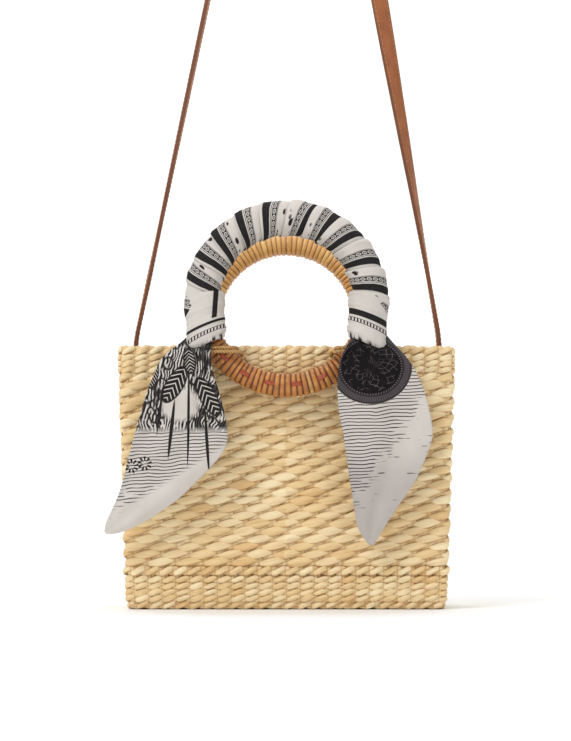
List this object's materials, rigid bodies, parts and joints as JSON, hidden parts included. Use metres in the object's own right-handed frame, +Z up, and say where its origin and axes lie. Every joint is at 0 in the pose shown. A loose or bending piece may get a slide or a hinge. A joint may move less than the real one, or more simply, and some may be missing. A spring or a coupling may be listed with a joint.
{
  "type": "basket box bag",
  "caption": "Open-topped box basket twined from straw, with two round cane-wrapped handles, a knotted scarf on the front one and a leather shoulder strap.",
  "frame": {"origin": "centre of the basket's underside, on the surface it stands on", "axes": "+Z up, the front with the scarf faces -Y, +X to the right seen from the front"},
  "size_m": [0.2926, 0.1739, 0.7597],
  "materials": {
    "straw": "dry matt plant fibre",
    "cane": "satin split cane",
    "cane_core": "bare bent cane",
    "dyed_cane": "satin dyed cane",
    "lashing_cord": "twisted fibre cord",
    "scarf_cloth": "thin smooth printed cloth",
    "strap_leather": "smooth saddle leather",
    "rivet_brass": "satin brass"
  },
  "bodies": {
    "basket": {"basket_body": "straw", "front_left_lashing": "lashing_cord", "front_right_lashing": "lashing_cord", "rear_left_lashing": "lashing_cord", "rear_right_lashing": "lashing_cord", "shoulder_strap": "strap_leather", "left_strap_rivets": "rivet_brass", "right_strap_rivets": "rivet_brass", "left_strap_washers": "rivet_brass", "right_strap_washers": "rivet_brass"},
    "front_handle": {"front_ring_core": "cane_core", "front_ring_cane": "cane", "front_ring_accent_cane": "dyed_cane", "scarf": "scarf_cloth"},
    "rear_handle": {"rear_ring_core": "cane_core", "rear_ring_cane": "cane", "rear_ring_accent_cane": "dyed_cane"}
  },
  "joints": [
    {"name": "front_handle_swing", "type": "hinge", "parent": "basket", "child": "front_handle", "pos_m": [0, -0.0662, 0.217], "axis": [-1, 0, 0], "range_deg": [-4, 24]},
    {"name": "rear_handle_swing", "type": "hinge", "parent": "basket", "child": "rear_handle", "pos_m": [0, 0.0662, 0.217], "axis": [1, 0, 0], "range_deg": [-4, 24]}
  ]
}
